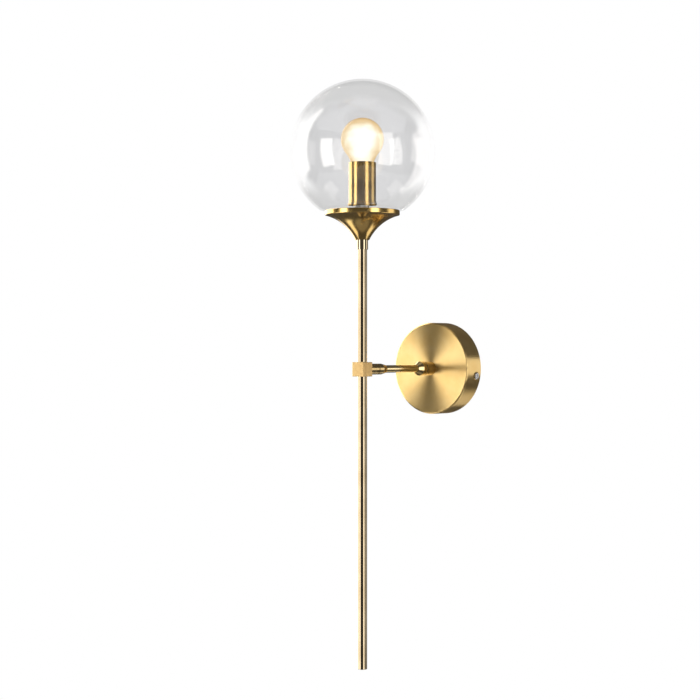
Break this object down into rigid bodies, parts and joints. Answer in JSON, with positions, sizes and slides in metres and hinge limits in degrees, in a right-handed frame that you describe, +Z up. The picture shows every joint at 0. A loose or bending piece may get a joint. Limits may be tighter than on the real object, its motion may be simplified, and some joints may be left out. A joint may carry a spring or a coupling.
{
  "type": "wall light",
  "caption": "Slim wall light: a round cover and short arm hold a long rod with a flared cup, a golf-ball bulb in a sleeve and a clear glass globe.",
  "frame": {"origin": "on the wall, at the centre of the wall bracket's back", "axes": "+Y into the wall, -Y out along the arm, +Z up along the rod, +X to the right seen from the room"},
  "size_m": [0.15, 0.217, 0.614],
  "materials": {
    "brass_turned": "lathe-turned and satin lacquered",
    "brass_satin": "satin antique",
    "brass_brushed": "brushed",
    "brass_plain": "plain machined",
    "steel_bright": "bright plated",
    "steel_plated": "zinc plated",
    "plastic_white": "moulded",
    "rubber_clear": "translucent silicone",
    "glass_clear": "clear blown",
    "bulb_glass": "clear",
    "cap_metal": "rolled",
    "insulator_black": "vitreous",
    "filament_metal": "drawn wire",
    "wire_brown": "insulated",
    "wire_blue": "insulated",
    "wire_green": "insulated"
  },
  "bodies": {
    "root": {"wall_cover": "brass_turned", "cover_screws": "steel_bright", "wall_bracket": "steel_plated", "terminal_block": "plastic_white", "terminal_sleeves": "brass_plain", "terminal_screws": "steel_plated", "block_screw": "steel_plated", "earth_screw": "steel_plated", "earth_washer": "steel_plated", "plate_nipple": "steel_plated", "plate_washer": "steel_plated", "plate_nut": "steel_plated", "plate_collar": "brass_satin", "plate_cone": "brass_satin", "arm_tube": "brass_satin", "cube_collar": "brass_satin", "cube_cone": "brass_satin", "cube_joint": "brass_brushed", "upper_rod": "brass_satin", "lower_rod": "brass_satin", "rod_plug": "brass_satin", "cup_ferrule": "brass_satin", "cup": "brass_satin", "cup_washer": "steel_plated", "cup_nut": "brass_plain", "globe_gasket": "rubber_clear", "sleeve_foot_ring": "brass_satin", "holder_sleeve": "brass_satin", "holder_nut": "steel_plated", "lamp_holder": "plastic_white", "holder_centre_contact": "brass_plain", "holder_side_contact": "brass_plain", "live_wire": "wire_brown", "neutral_wire": "wire_blue", "earth_wire": "wire_green"},
    "globe": {"globe": "glass_clear"},
    "bulb": {"bulb_glass": "bulb_glass", "bulb_cap": "cap_metal", "bulb_insulator": "insulator_black", "bulb_contact": "cap_metal", "bulb_stem": "bulb_glass", "bulb_filament": "filament_metal", "bulb_leads": "filament_metal"}
  },
  "joints": [
    {"name": "globe_lift", "type": "slide", "parent": "root", "child": "globe", "axis": [0, 0, 1], "range_m": [0, 0.12]},
    {"name": "bulb_unscrew", "type": "slide", "parent": "root", "child": "bulb", "axis": [0, 0, 1], "range_m": [0, 0.025]}
  ]
}
